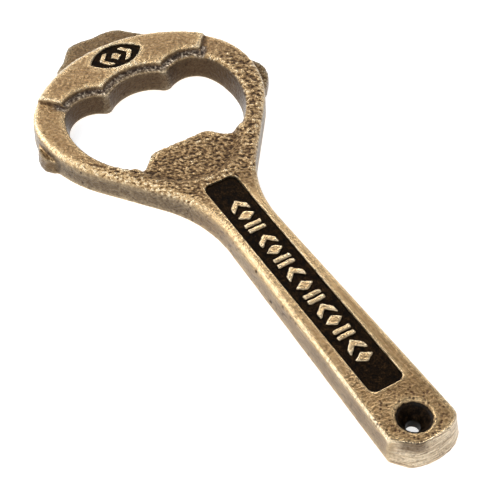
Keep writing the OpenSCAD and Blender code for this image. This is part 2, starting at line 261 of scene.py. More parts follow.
# the ground end face, lopsided, at the top and at the back
END_TOP = end_outline([
    (-8, -9.6), (-5.6, -6.9), (-3.9, -4.7), (-2.8, -3.5), (-2.6, -2.6), (-2.4, -0.8), (-2.5, 1.8),
    (-2.7, 4.6), (-3.4, 6.4), (-4.4, 7.6), (-8, 12),
])
END_LOW = end_outline([
    (-8, -10.6), (-5.1, -8.3), (-1.8, -5.6), (-1.0, -3.6), (-0.5, -1.4), (-0.4, 1.2), (-0.8, 4.1),
    (-1.6, 6.2), (-2.9, 7.9), (-8, 13),
])

# raised motifs
MOTIF_PITCH, MOTIF_H, MOTIF_W, MOTIF_BAR = 3.9, 4.2, 2.7, 0.9
MOTIF_GROUPS, MOTIF_GAP, MOTIF_INSET = (3, 4, 7), 0.8, 8.9
MOTIF_DROP, MOTIF_SPREAD = 0.15, 0.12
SIGN_LOZENGE, SIGN_CHEVRON_W, SIGN_CHEVRON_H, SIGN_SHIFT = 2.8, 2.4, 4.8, 3.4


def chevron(width, height):
    """A V whose point is towards -X."""
    stroke = MOTIF_BAR * math.hypot(width, height / 2) / (height / 2)
    return np.array([
        [-width / 2, 0], [width / 2 - stroke / 2, height / 2], [width / 2 + stroke / 2, height / 2],
        [-width / 2 + stroke, 0], [width / 2 + stroke / 2, -height / 2],
        [width / 2 - stroke / 2, -height / 2],
    ])


def lozenge(width, height):
    return np.array([[-width / 2, 0], [0, height / 2], [width / 2, 0], [0, -height / 2]])


def bars(width, height):
    """Two bars across the handle."""
    b = MOTIF_BAR / 2
    return [
        np.array([[m - b, -height / 2], [m - b, height / 2], [m + b, height / 2], [m + b, -height / 2]])
        for m in (-(width - MOTIF_BAR) / 2, (width - MOTIF_BAR) / 2)
    ]


def panel_motifs():
    """Rows of V, lozenge and bars along the handle panel, in groups."""
    kinds = [[chevron(MOTIF_W, MOTIF_H)], [lozenge(MOTIF_W, MOTIF_H)], bars(MOTIF_W, MOTIF_H)]
    shapes, k = [], 0
    for g, count in enumerate(MOTIF_GROUPS):
        for _ in range(count):
            at = np.array([panel_lo[0] + MOTIF_INSET + k * MOTIF_PITCH + g * MOTIF_GAP, 0])
            shapes += [p + at for p in kinds[k % 3]]
            k += 1
    return shapes


def emblem_motifs():
    """A lozenge between two V shapes that point outwards across the head."""
    shapes = [lozenge(SIGN_LOZENGE, SIGN_LOZENGE) + [EMBLEM_X, 0]]
    for s in (-1, 1):
        p = chevron(SIGN_CHEVRON_W, SIGN_CHEVRON_H)
        turned = np.stack([s * p[:, 1], -s * p[:, 0]], -1)
        shapes.append(turned + [EMBLEM_X, s * SIGN_SHIFT])
    return shapes


# ---------------------------------------------------------------- distance fields


def polygon_distance(points, x, y):
    """Signed distance from a closed outline, below 0 inside."""
    best = np.full(x.shape, 1e9, np.float32)
    inside = np.zeros(x.shape, bool)
    for (ax, ay), (bx, by) in zip(points, np.roll(points, -1, axis=0)):
        ex, ey = bx - ax, by - ay
        length = ex * ex + ey * ey
        if length < 1e-12:
            continue
        px, py = x - ax, y - ay
        t = np.clip((px * ex + py * ey) / length, 0, 1)
        best = np.minimum(best, (px - t * ex) ** 2 + (py - t * ey) ** 2)
        if ay != by:
            inside ^= ((y < ay) != (y < by)) & (px < ex * py / ey)
    return np.where(inside, -1, 1) * np.sqrt(best)


def near_distance(shapes, x, y, reach=3.0):
    """Signed distance from the nearest of several small outlines, exact only within reach."""
    d = np.full(x.shape, reach, np.float32)
    for p in shapes:
        lo, hi = p.min(0) - reach, p.max(0) + reach
        i0, i1 = np.searchsorted(x[:, 0], [lo[0], hi[0]])
        j0, j1 = np.searchsorted(y[0], [lo[1], hi[1]])
        part = polygon_distance(p, x[i0:i1, j0:j1], y[i0:i1, j0:j1])
        d[i0:i1, j0:j1] = np.minimum(d[i0:i1, j0:j1], part)
    return d


def step(v):
    """Smooth step from 0 at v = -1 to 1 at v = 1."""
    t = np.clip(v * 0.5 + 0.5, 0, 1)
    return t * t * (3 - 2 * t)


def soft_min(a, b, k):
    """Join of two solids, with a fillet of about k where they meet."""
    h = np.clip(0.5 + 0.5 * (b - a) / k, 0, 1)
    return b + (a - b) * h - k * h * (1 - h)


def round_and(a, b, r):
    """Common part of two solids, with the edge between them rounded to radius r."""
    u, v = a + r, b + r
    return np.minimum(np.maximum(u, v), 0) + np.hypot(np.maximum(u, 0), np.maximum(v, 0)) - r


def mix(a, b, t):
    """a at t = 0 and b at t = 1."""
    return a + (b - a) * t


def wobble(x, y):
    """A small irregularity of hand-finished outlines."""
    waves = np.sin(2.9 * x + 1.7 * y) + np.sin(3.7 * y - 1.3 * x + 1) + np.sin(4.6 * x - 2.2 * y + 2)
    return 0.035 * waves


def rounded_box(x, y, half_x, half_y, r):
    """Signed distance from a rectangle with rounded corners."""
    qx, qy = np.abs(x) - half_x + r, np.abs(y) - half_y + r
    return np.hypot(np.maximum(qx, 0), np.maximum(qy, 0)) + np.minimum(np.maximum(qx, qy), 0) - r


def edge_radius(x, y):
    """How rounded the outer top edge is: most on the near side, least at the handle's end."""
    near = step(-y / 3)
    edge = mix(1.3, 2.1, step((x - HEAD_X - 35.5) / 12) * near)
    edge = mix(edge, 1.9, step((x - HEAD_X - 67.5) / 8) * near)
    return mix(edge, 0.8, step((x - END_X + 42.5) / 25))


def in_front_of_grip(x):
    """1 beside the grip's scallops, 0 beyond its two ends."""
    return step((GRIP_END_X - x) / 3)


def top_height(f, x):
    """Height of the top face: grip, groove in front of the grip, and the cap tab's round recess."""
    top = TOP_Z + GRIP_HEIGHT * step(-f["grip"] / 0.38)
    groove = step((1.1 - np.abs(f["grip"] - 0.75)) / 0.6) * in_front_of_grip(x)
    groove = groove * step((0.2 - f["outer_top"]) * 2)
    top = top - GROOVE_DEPTH * groove * step(INNER_RIDGE - f["inner_top"])
    slope = mix(0.9, 2.0, step((x - HEAD_X - 53.5) / 6))
    in_recess = step(-(f["recess"] + 0.3) / slope) * step((x - HEAD_X - 41.5) / 1.5)
    return mix(top, TOP_Z - RECESS_DEPTH, in_recess)


def flat_fields(x, y):
    """Every 2-D field that the solid needs, on arrays x and y."""
    stretch = 1 + FAR_SIDE_STRETCH * step((x - HEAD_X - 32.5) / 14)
    wide = np.where(y > 0, y / stretch, y)
    f = {
        "outer_low": polygon_distance(outer_outline(OUTER_DRAFT, 0), x, wide),
        "outer_top": polygon_distance(outer_outline(0, END_LEAN), x, wide),
        "inner_low": polygon_distance(opening_outline(-INNER_DRAFT), x, y),
        "inner_top": polygon_distance(opening_outline(0), x, y),
        "grip": polygon_distance(grip_outline(), x, y),
        "head_lobe": polygon_distance(HEAD_LOBE, x, y),
        "near_lobe": polygon_distance(NEAR_LOBE, x, y),
        "far_lobe": polygon_distance(FAR_LOBE, x, y),
        "recess": np.hypot(x - TAB_X - RECESS_SHIFT, y) - RECESS_R,
        "motif": near_distance(panel_motifs(), x, y) + wobble(x, y),
        "sign": near_distance(emblem_motifs(), x, y) + wobble(x, y),
        "end_low": polygon_distance(END_LOW, x, y),
        "end_top": polygon_distance(END_TOP, x, y),
    }
    panel_x = (panel_lo[0] + panel_hi[0]) / 2
    panel_half_x, panel_half_y = (panel_hi[0] - panel_lo[0]) / 2, (panel_hi[1] - panel_lo[1]) / 2
    f["panel"] = rounded_box(x - panel_x, y, panel_half_x, panel_half_y, PANEL_CORNER_R)
    rise, tall = (emblem_hi[0] - emblem_lo[0]) / 2, (emblem_hi[1] - emblem_lo[1]) / 2
    lens_r = (tall * tall + rise * rise) / (2 * rise)
    f["lens"] = np.hypot(np.abs(x - EMBLEM_X) + lens_r - rise, y) - lens_r
    f["hole"] = np.hypot(x - HOLE_X, y) + 0.7 * wobble(x, y) * step(x - HOLE_X + 6)
    f["edge"] = edge_radius(x, y)
    far_scallop = step((y - 9) / 4) * step((HEAD_X + 39.5 - x) / 6)
    f["inner_low"] = f["inner_low"] + SCALLOP_CUT * far_scallop
    f["top"] = top_height(f, x)
    return f


def solid(f, z):
    """The casting's distance field at height z."""
    t = np.clip(z / TOP_Z, 0, 1)
    # ring and handle, cut off by the end face
    ring = round_and(mix(f["outer_low"], f["outer_top"], t), z - f["top"], f["edge"])
    ring = round_and(ring, mix(f["end_low"], f["end_top"], t), END_EDGE)
    # lobes of the base flange, each with its own draft, height and edge
    head = round_and(f["head_lobe"] + 0.25 * z / FLANGE_Z, z - FLANGE_Z, 0.55)
    near = round_and(f["near_lobe"] + 0.45 * z / FLANGE_Z, z - FLANGE_Z - 0.6, 0.3)
    far = round_and(f["far_lobe"] + 0.25 * z / FLANGE_Z, z - FLANGE_Z + 0.1, 0.7)
    d = soft_min(ring, np.minimum(head, np.minimum(near, far)), FLANGE_FILLET)
    # back edge and opening
    d = round_and(d, -z, BACK_EDGE)
    opening = mix(f["inner_low"], f["inner_top"], t)
    d = round_and(d, -opening, mix(OPENING_EDGE_LOW, OPENING_EDGE_TOP, t))
    # panel and emblem, each with its raised motifs
    d = round_and(d, -np.maximum(f["panel"], PANEL_FLOOR - z), PANEL_EDGE)
    d = np.minimum(d, round_and(f["motif"] - MOTIF_SPREAD, z - TOP_Z + MOTIF_DROP, MOTIF_EDGE))
    d = round_and(d, -np.maximum(f["lens"], EMBLEM_FLOOR - z), EMBLEM_EDGE)
    d = np.minimum(d, round_and(f["sign"] - MOTIF_SPREAD, z - GRIP_Z + MOTIF_DROP, MOTIF_EDGE))
    d = np.maximum(d, -z)
    # hanging hole, with room for its lining
    radius = HOLE_BORE_R + LINING + np.maximum(z - HOLE_BORE_Z, 0) * HOLE_CONE
    return round_and(d, radius - f["hole"], HOLE_EDGE)


# ---------------------------------------------------------------- meshing


def surface(values, xs, ys, zs):
    """Vertices and quads of the zero level of values on a rectilinear grid, one vertex a cell."""
    nx, ny, nz = values.shape
    cells = (nx - 1, ny - 1, nz - 1)
    total = np.zeros(cells + (3,), np.float32)
    count = np.zeros(cells, np.int8)
    inside = values < 0
    axes = (xs, ys, zs)
    crossings = []
    for a in range(3):
        first = [slice(None)] * 3
        second = [slice(None)] * 3
        first[a], second[a] = slice(0, -1), slice(1, None)
        v0, v1 = values[tuple(first)], values[tuple(second)]
        i, j, k = np.nonzero(inside[tuple(first)] != inside[tuple(second)])
        t = v0[i, j, k] / (v0[i, j, k] - v1[i, j, k])
        at = [xs[i], ys[j], zs[k]]
        here = (i, j, k)[a]
        at[a] = axes[a][here] + t * (axes[a][here + 1] - axes[a][here])
        points = np.stack(at, -1)
        up = ~inside[tuple(second)][i, j, k]
        b, c = [m for m in range(3) if m != a]
        index = np.stack([i, j, k], -1)
        ring = []
        for db, dc in ((-1, -1), (0, -1), (0, 0), (-1, 0)):
            cell = index.copy()
            cell[:, b] += db
            cell[:, c] += dc
            ok = np.all((cell >= 0) & (cell < np.array(cells)), axis=1)
            ci = tuple(cell[ok].T)
            np.add.at(total, ci, points[ok])
            np.add.at(count, ci, 1)
            ring.append(cell)
        flip = up if a != 1 else ~up
        crossings.append((np.stack(ring, 1), flip))
    active = count > 0
    number = np.full(cells, -1, np.int64)
    number[active] = np.arange(int(active.sum()))
    verts = total[active] / count[active][:, None]
    quads = []
    for ring, flip in crossings:
        ids = number[ring[..., 0], ring[..., 1], ring[..., 2]]
        ids[~flip] = ids[~flip][:, ::-1]
        quads.append(ids)
    return verts, np.concatenate(quads)


def lines(*parts):
    """Grid lines from (start, stop, spacing) runs that follow each other."""
    out = [np.linspace(a, b, max(2, int(round((b - a) / s)) + 1))[:-1] for a, b, s in parts]
    return np.concatenate(out + [[parts[-1][1]]])


class Fields:
    """The flat fields on a grid, looked up at any point by bilinear interpolation."""

    def __init__(self, xs, ys):
        self.xs, self.ys = xs, ys
        gx, gy = np.meshgrid(xs, ys, indexing="ij")
        self.grid = flat_fields(gx, gy)

    def at(self, x, y):
        i = np.clip(np.searchsorted(self.xs, x) - 1, 0, len(self.xs) - 2)
        j = np.clip(np.searchsorted(self.ys, y) - 1, 0, len(self.ys) - 2)
        u = (x - self.xs[i]) / (self.xs[i + 1] - self.xs[i])
        v = (y - self.ys[j]) / (self.ys[j + 1] - self.ys[j])
        out = {}
        for name, g in self.grid.items():
            out[name] = mix(mix(g[i, j], g[i + 1, j], u), mix(g[i, j + 1], g[i + 1, j + 1], u), v)
        return out


def gradient(fields, shape, p, h=0.04):
    """Slope of a solid's distance field at the points p."""
    g = np.zeros_like(p)
    for a in range(3):
        e = np.zeros(3)
        e[a] = h
        after, before = (shape(fields.at(v[:, 0], v[:, 1]), v[:, 2]) for v in (p + e, p - e))
        g[:, a] = after - before
    return g / (2 * h)


MAX_MOVE = 0.15


def settle(fields, shape, p):
    """Moves the vertices onto the zero level, in two rounds of at most MAX_MOVE each."""
    for _ in range(2):
        d = shape(fields.at(p[:, 0], p[:, 1]), p[:, 2])
        g = gradient(fields, shape, p)
        move = d[:, None] * g / np.maximum((g * g).sum(1), 0.2)[:, None]
        size = np.linalg.norm(move, axis=1, keepdims=True)
        p = p - move * np.minimum(1, MAX_MOVE / np.maximum(size, 1e-9))
    return p


def mesh_of(shape, xs, ys, zs):
    """Vertices and quads on the zero level of shape, and the flat fields behind them."""
    fields = Fields(xs, ys)
    grid = {name: values[:, :, None].astype(np.float32) for name, values in fields.grid.items()}
    p, quads = surface(shape(grid, zs[None, None, :].astype(np.float32)), xs, ys, zs)
    return settle(fields, shape, p.astype(float)), quads, fields


def new_mesh(name, verts, faces):
    """A smooth-shaded object from vertices in millimetres and faces of one size."""
    mesh = bpy.data.meshes.new(name)
    mesh.vertices.add(len(verts))
    mesh.vertices.foreach_set("co", (np.asarray(verts, float) * MM).astype(np.float32).ravel())
    mesh.loops.add(faces.size)
    mesh.loops.foreach_set("vertex_index", faces.astype(np.int32).ravel())
    mesh.polygons.add(len(faces))
    width = faces.shape[1]
    mesh.polygons.foreach_set("loop_start", np.arange(0, faces.size, width, dtype=np.int32))
    mesh.polygons.foreach_set("loop_total", np.full(len(faces), width, np.int32))
    mesh.update(calc_edges=True)
    mesh.validate()
    mesh.polygons.foreach_set("use_smooth", np.ones(len(mesh.polygons), bool))
    obj = bpy.data.objects.new(name, mesh)
    bpy.context.scene.collection.objects.link(obj)
    return obj


def add_attribute(obj, name, values):
    """One number a vertex, for the material to read."""
    a = obj.data.attributes.new(name, "FLOAT", "POINT")
    a.data.foreach_set("value", np.asarray(values, np.float32))


def pattern(points, scale, seed, stretch=None, kind="noise"):
    """Blender's own noise or cell distance at points, with its features drawn out along stretch."""
    q = points * scale
    if stretch is not None:
        axis, factor = np.array(stretch[0]), stretch[1]
        axis = axis / np.linalg.norm(axis)
        q = q - np.outer(q @ axis * (1 - 1 / factor), axis)
    q = (q + seed * 17.31).tolist()
    if kind == "cells":
        return np.array([noise.voronoi(v)[0][0] for v in q])
    return np.array([noise.noise(v) for v in q])


def relax(values, ends, n, rounds):
    """values averaged over the neighbours along mesh edges, several times."""
    a, b = ends
    counts = np.bincount(a, minlength=n) + np.bincount(b, minlength=n)
    out = np.asarray(values, float)
    for _ in range(rounds):
        around = np.stack(
            [np.bincount(a, out[b, c], n) + np.bincount(b, out[a, c], n) for c in range(out.shape[1])], -1
        )
        out = 0.4 * out + 0.6 * around / np.maximum(counts, 1)[:, None]
    return out


def edge_ends(quads):
    """The two vertices of every edge, each edge once."""
    pairs = np.concatenate([quads[:, [0, 1]], quads[:, [1, 2]], quads[:, [2, 3]], quads[:, [3, 0]]])
    pairs = np.unique(np.sort(pairs, axis=1), axis=0)
    return pairs[:, 0], pairs[:, 1]


# ---------------------------------------------------------------- pieces

# the casting's grid, in runs of (start, stop, spacing): finest along the panel and near the top
GRID_X = ((HEAD_X - 0.9, -12, 0.36), (-12, 60.5, 0.22), (60.5, END_X + 0.9, 0.33))
GRID_Y = ((-33.0, -5.0, 0.36), (-5.0, 5.0, 0.22), (5.0, 35.2, 0.36))
GRID_Z = ((-0.5, 4.7, 0.37), (4.7, GRIP_Z + 0.6, 0.26))

# the direction that the coarse grain is drawn out in
STREAK = (0.53, 0.85, 0.0)


def regions(f, p, normal):
    """How far each point belongs to each kind of surface, from 0 to 1."""
    x, y = p[:, 0], p[:, 1]
    up = step((normal[:, 2] - 0.55) * 4)
    bottom = step((-normal[:, 2] - 0.5) * 4)
    side = (1 - up) * (1 - bottom)
    recess = step(-(f["recess"] - 1.5) / 1.5) * step((x - HEAD_X - 42.5) / 3)
    neck = step((x - HEAD_X - 45.5) / 6) * step((HEAD_X + 71.5 - x) / 6)
    far_ring = step((x - HEAD_X - 27.5) / 8) * step((y - 12) / 6) * step((HEAD_X + 73.5 - x) / 6)
    handle = step((x - HEAD_X - 71.5) / 6)
    end_face = step((x - END_X + 5.5) / 1.2) * step((normal[:, 0] - 0.35) * 4)
    inner_wall = side * step((3.0 - f["inner_top"]) * 2) * step(-f["outer_top"] - 3.5)
    around_hole = step((8.5 - f["hole"]) / 3.5) * step((x - END_X + 19.5) / 2)
    near_strip = handle * step(-3.5 - y)
    low_side = side * step((x - HEAD_X - 52.5) / 8) * step((HEAD_X + 102.5 - x) / 8)
    return {
        "up": up,
        "bottom": bottom,
        "side": side,
        "coarse": np.clip(np.maximum(np.maximum(recess, neck), far_ring), 0, 1),
        "handle": handle,
        "end_face": end_face,
        "inner_wall": inner_wall,
        "pitted": np.clip((around_hole + 0.35 * near_strip) * up + 0.45 * side + 0.35 * low_side, 0, 1),
    }


def cast_skin(f, p, kind):
    """Grain and pits of the casting, and how far they lift or sink each point."""
    up, side = kind["up"], kind["side"]
    broad = pattern(p, 0.09, 1)
    streaks = 0.55 * pattern(p, 1.35, 2, (STREAK, 1.4)) + 0.45 * pattern(p, 2.2, 3, (STREAK, 1.2))
    pebbles = 0.45 * pattern(p, 1.0, 4) + 0.55 * pattern(p, 1.9, 5)
    cells = pattern(p, 0.42, 6, None, "cells")
    grain = mix(pebbles, streaks, np.clip(kind["coarse"] + 0.15, 0, 1))
    patches = step((pattern(p, 0.15, 8) + 0.05) * 5)
    pits = step((0.14 - cells) / 0.07) * kind["pitted"] * patches
    depth = (0.115 + 0.085 * kind["coarse"] * up - 0.08 * side) * (1 - 0.72 * kind["handle"])
    relief = depth * grain * 1.6 + 0.06 * broad * up - 0.20 * pits
    relief *= (1 - kind["bottom"]) * np.clip(p[:, 2] / 0.6, 0, 1)
    # calm beside the enamel, so that its edge stays clean
    relief *= step((np.abs(f["panel"]) - 0.35) / 0.2) * step((np.abs(f["lens"]) - 0.3) / 0.2) * 0.7 + 0.3
    grind = 0.03 * pattern(p * [0, 0.1, 2.6], 1.0, 9) * kind["end_face"]
    return grain, pits, relief + grind * np.clip(p[:, 2], 0, 1)


def cast_body():
    """The casting, with its relief and the attributes that the bronze is painted from."""
    p, quads, fields = mesh_of(solid, lines(*GRID_X), lines(*GRID_Y), lines(*GRID_Z))
    ends = edge_ends(quads)
    normal = gradient(fields, solid, p, 0.08)
    normal /= np.maximum(np.linalg.norm(normal, axis=1, keepdims=True), 1e-9)
    f = fields.at(p[:, 0], p[:, 1])
    x, y, z = p.T
    kind = regions(f, p, normal)
    up = kind["up"]
    grain, pits, relief = cast_skin(f, p, kind)
    p = p + normal * relief[:, None]
    p[:, 2] = np.maximum(p[:, 2], 0)

    # how far each point stands out of what is round it, over a short and a long reach
    near = ((p - relax(p, ends, len(p), 4)) * normal).sum(1)
    far = ((p - relax(p, ends, len(p), 30)) * normal).sum(1)

    # marks of use: dark groove along the grip and ground facet on the end; painted shade at the foot of the
    # grip's step and a painted highlight along the near top edge
    grip_line = in_front_of_grip(x)
    groove = step((0.75 - np.abs(f["grip"] - 0.85)) / 0.3) * grip_line * up
    # painted shade along the foot of the step down from the grip
    step_shade = step((0.40 - np.abs(f["grip"] - 0.50)) / 0.2) * grip_line * step((z - TOP_Z + 0.4) / 0.2)
    # painted highlight along the rounded top edge on the near side, where light catches it
    near_edge_highlight = up * step((0.955 - normal[:, 2]) / 0.03) * step((f["outer_top"] + 2.6) / 0.5) * step(-y / 2)
    facet = kind["end_face"] * step((z - 4.3) / 0.6) * step((-1.5 - y) / 1.2) * step((y + 6.6) / 0.8)

    obj = new_mesh("cast_body_bronze", p, quads)
    for name, values in {
        "grain": grain,
        "hollow": np.clip(-near / 0.06, 0, 1),
        "ridge": np.clip(far / 0.30, 0, 1),
        "pits": pits,
        "pitted": kind["pitted"],
        "coarse": kind["coarse"] * up,
        "side": kind["side"],
        "handle": kind["handle"],
        "strip": kind["handle"] * up * step((y - 4.4) / 0.8),
        "inner_wall": kind["inner_wall"],
        "ground": kind["end_face"],
        "facet": facet,
        "step_shade": step_shade * (1 - 0.6 * groove),
        "near_edge_highlight": near_edge_highlight,
        "outside": step((f["outer_low"] - 0.3) / 0.4),
        "groove": groove * step(INNER_RIDGE - f["inner_top"]),
    }.items():
        add_attribute(obj, name, values)
    return obj


def enamel_piece(name, outline, lo, hi, motif, spacing):
    """Enamel that fills an outline to just past its CAD height, cut out round the motifs."""

    def shape(f, z):
        meniscus = 0.10 * np.exp(np.minimum(f[outline], 0) / 0.35)
        d = round_and(f[outline] + 0.01, z - hi[2] - meniscus, 0.05)
        d = np.maximum(d, lo[2] + 0.01 - z)
        return np.maximum(d, MOTIF_SPREAD + 0.03 - f[motif])

    xs, ys = (lines((lo[a] - 0.6, hi[a] + 0.6, spacing)) for a in (0, 1))
    p, quads, _ = mesh_of(shape, xs, ys, lines((lo[2] - 0.3, hi[2] + 0.5, 0.1)))
    wave = 0.035 * pattern(p, 0.7, 11) + 0.02 * pattern(p, 2.1, 12)
    p[:, 2] += np.where(p[:, 2] > hi[2] - 0.12, wave, 0)
    return new_mesh(name, p, quads)


def hole_lining():
    """The enamel in the hanging hole, turned from its profile."""
    # up the inside: back edge, bore, cone and rim
    profile = [(HOLE_BORE_R + 0.12, 0.02), (HOLE_BORE_R, 0.2)]
    profile += [(HOLE_BORE_R, z) for z in np.linspace(0.6, HOLE_BORE_Z - 0.4, 6)]
    profile += [(HOLE_BORE_R + 0.02, HOLE_BORE_Z), (HOLE_BORE_R + 0.35 * HOLE_CONE, HOLE_BORE_Z + 0.4)]
    cone_heights = np.linspace(HOLE_BORE_Z + 0.9, TOP_Z - 0.75, 8)
    profile += [(HOLE_BORE_R + HOLE_CONE * (z - HOLE_BORE_Z), z) for z in cone_heights]
    rim = HOLE_MOUTH_R - 0.12
    profile += [(rim - 0.14, TOP_Z - 0.52), (rim, TOP_Z - 0.42), (rim + 0.05, TOP_Z - 0.5)]
    # and down the outside
    skin = LINING - 0.03
    profile += [(r + skin, z) for r, z in profile[-6:2:-1]]
    profile = np.array(profile + [(HOLE_BORE_R + skin, 0.02)])

    turns, n = 144, len(profile)
    angles = np.arange(turns) / turns * 2 * math.pi
    r, z = (np.repeat(profile[None, :, a], turns, 0) for a in (0, 1))
    p = np.stack([HOLE_X + r * np.cos(angles)[:, None], r * np.sin(angles)[:, None], z], -1).reshape(-1, 3)
    ripple = 0.03 * pattern(p, 0.9, 13)
    away = p[:, :2] - [HOLE_X, 0]
    p[:, :2] += away / np.linalg.norm(away, axis=1, keepdims=True) * ripple[:, None]
    i, j = np.meshgrid(np.arange(turns), np.arange(n), indexing="ij")
    i2, j2 = (i + 1) % turns, (j + 1) % n
    quads = np.stack([i * n + j, i * n + j2, i2 * n + j2, i2 * n + j], -1).reshape(-1, 4)
    return new_mesh("hole_lining_enamel", p, quads)


# ---------------------------------------------------------------- materials


class Nodes:
    """Short calls for building one material, with coordinates in millimetres."""

    def __init__(self, name):
        self.material = bpy.data.materials.new(name)
        self.material.use_nodes = True
        self.tree = self.material.node_tree
        self.shader = self.tree.nodes["Principled BSDF"]
        coords = self.tree.nodes.new("ShaderNodeTexCoord")
        to_mm = self.tree.nodes.new("ShaderNodeVectorMath")
        to_mm.operation = "SCALE"
        to_mm.inputs["Scale"].default_value = 1 / MM
        self.tree.links.new(coords.outputs["Object"], to_mm.inputs[0])
        self.mm = to_mm.outputs[0]

    def put(self, socket, value):
        """Links value to the socket if it is one itself, and sets it otherwise."""
        if isinstance(value, bpy.types.NodeSocket):
            self.tree.links.new(value, socket)
        elif isinstance(value, (tuple, list)) and len(value) == 3 and socket.type == "RGBA":
            socket.default_value = (*value, 1)
        else:
            socket.default_value = value

    def math(self, operation, *values, clamp=False):
        n = self.tree.nodes.new("ShaderNodeMath")
        n.operation = operation
        n.use_clamp = clamp
        for socket, value in zip(n.inputs, values):
            self.put(socket, value)
        return n.outputs[0]

    def line(self, value, slope, start):
        """start + slope * value"""
        return self.math("MULTIPLY_ADD", value, slope, start)

    def plus(self, level, value, share):
        """level + value * share"""
        return self.math("ADD", level, self.math("MULTIPLY", value, share))

    def stretched(self, axis, factor):
        """Coordinates in which features come out factor times as long along axis."""
        n = self.tree.nodes.new("ShaderNodeVectorRotate")
        n.rotation_type = "Z_AXIS"
        self.put(n.inputs["Vector"], self.mm)
        n.inputs["Angle"].default_value = -math.atan2(axis[1], axis[0])
        return self.scaled((1 / factor, 1, 1), n.outputs[0])

    def scaled(self, factors, vector=None):
        """Coordinates multiplied by factors."""
        n = self.tree.nodes.new("ShaderNodeVectorMath")
        n.operation = "MULTIPLY"
        n.inputs[1].default_value = factors
        self.put(n.inputs[0], self.mm if vector is None else vector)
        return n.outputs[0]

    def noise(self, scale, detail, rough, vector=None):
        n = self.tree.nodes.new("ShaderNodeTexNoise")
        self.put(n.inputs["Vector"], self.mm if vector is None else vector)
        n.inputs["Scale"].default_value = scale
        n.inputs["Detail"].default_value = detail
        n.inputs["Roughness"].default_value = rough
        return n.outputs[0]

    def cells(self, scale, dimensions="3D"):
        """Distance from the nearest of many scattered points."""
        n = self.tree.nodes.new("ShaderNodeTexVoronoi")
        n.voronoi_dimensions = dimensions
        self.put(n.inputs["Vector"], self.mm)
        n.inputs["Scale"].default_value = scale
        return n.outputs["Distance"]

    def attribute(self, name):
        n = self.tree.nodes.new("ShaderNodeAttribute")
        n.attribute_name = name
        return n.outputs["Fac"]

    def ramp(self, value, *stops):
        """A colour ramp through (position, colour or grey) stops."""
        n = self.tree.nodes.new("ShaderNodeValToRGB")
        self.put(n.inputs[0], value)
        els = n.color_ramp.elements
        while len(els) < len(stops):
            els.new(0.5)
        for e, (at, colour) in zip(els, stops):
            e.position = at
            e.color = (*colour, 1) if isinstance(colour, (tuple, list)) else (colour,) * 3 + (1,)
        return n.outputs[0]

    def blend(self, factor, a, b, kind="MIX"):
        n = self.tree.nodes.new("ShaderNodeMix")
        n.data_type = "RGBA"
        n.blend_type = kind
        self.put(n.inputs["Factor"], factor)
        self.put(n.inputs["A"], a)
        self.put(n.inputs["B"], b)
        return n.outputs["Result"]

    def bump(self, height, distance, strength):
        """Fine relief from a height, distance millimetres deep."""
        n = self.tree.nodes.new("ShaderNodeBump")
        self.put(n.inputs["Height"], height)
        n.inputs["Distance"].default_value = distance * MM
        n.inputs["Strength"].default_value = strength
        return n.outputs[0]


# bronze from deep patina to worn bright, on faces that look up, and a darker copy of it with painted shade
# for the side walls
TOP_TONES = (
    (0.0, (0.045, 0.025, 0.013)),
    (0.25, (0.120, 0.066, 0.028)),
    (0.5, (0.335, 0.205, 0.090)),
    (0.75, (0.62, 0.435, 0.225)),
    (1.0, (0.82, 0.67, 0.45)),
)
# the side walls' copy of the bronze, darker all through: painted shade
SHADED_WALL_TONES = (
    (0.0, (0.020, 0.013, 0.009)),
    (0.3, (0.070, 0.048, 0.028)),
    (0.5, (0.140, 0.100, 0.060)),
    (0.8, (0.34, 0.26, 0.16)),
    (1.0, (0.80, 0.68, 0.48)),
)
GROUND_TONES = ((0.36, (0.24, 0.165, 0.10)), (0.47, (0.58, 0.45, 0.30)), (0.60, (0.88, 0.74, 0.54)))
FLECK_TONES = ((0.42, (0.045, 0.035, 0.033)), (0.54, (0.22, 0.17, 0.13)), (0.66, (0.80, 0.68, 0.52)))
# painted shade on the walls of the ring's opening
INNER_WALL_SHADE = (0.070, 0.037, 0.016)
LOBE_TONE = (0.115, 0.068, 0.028)
FACET_TONE = (0.10, 0.060, 0.030)
PIT_TONE = (0.050, 0.020, 0.010)
BRONZE_GLOSS = ((0.0, 0.60), (0.5, 0.28), (1.0, 0.26))
ENAMEL_TONES = (
    (0.16, (0.0030, 0.0022, 0.0018)),
    (0.27, (0.012, 0.0065, 0.003)),
    (0.42, (0.045, 0.024, 0.010)),
)


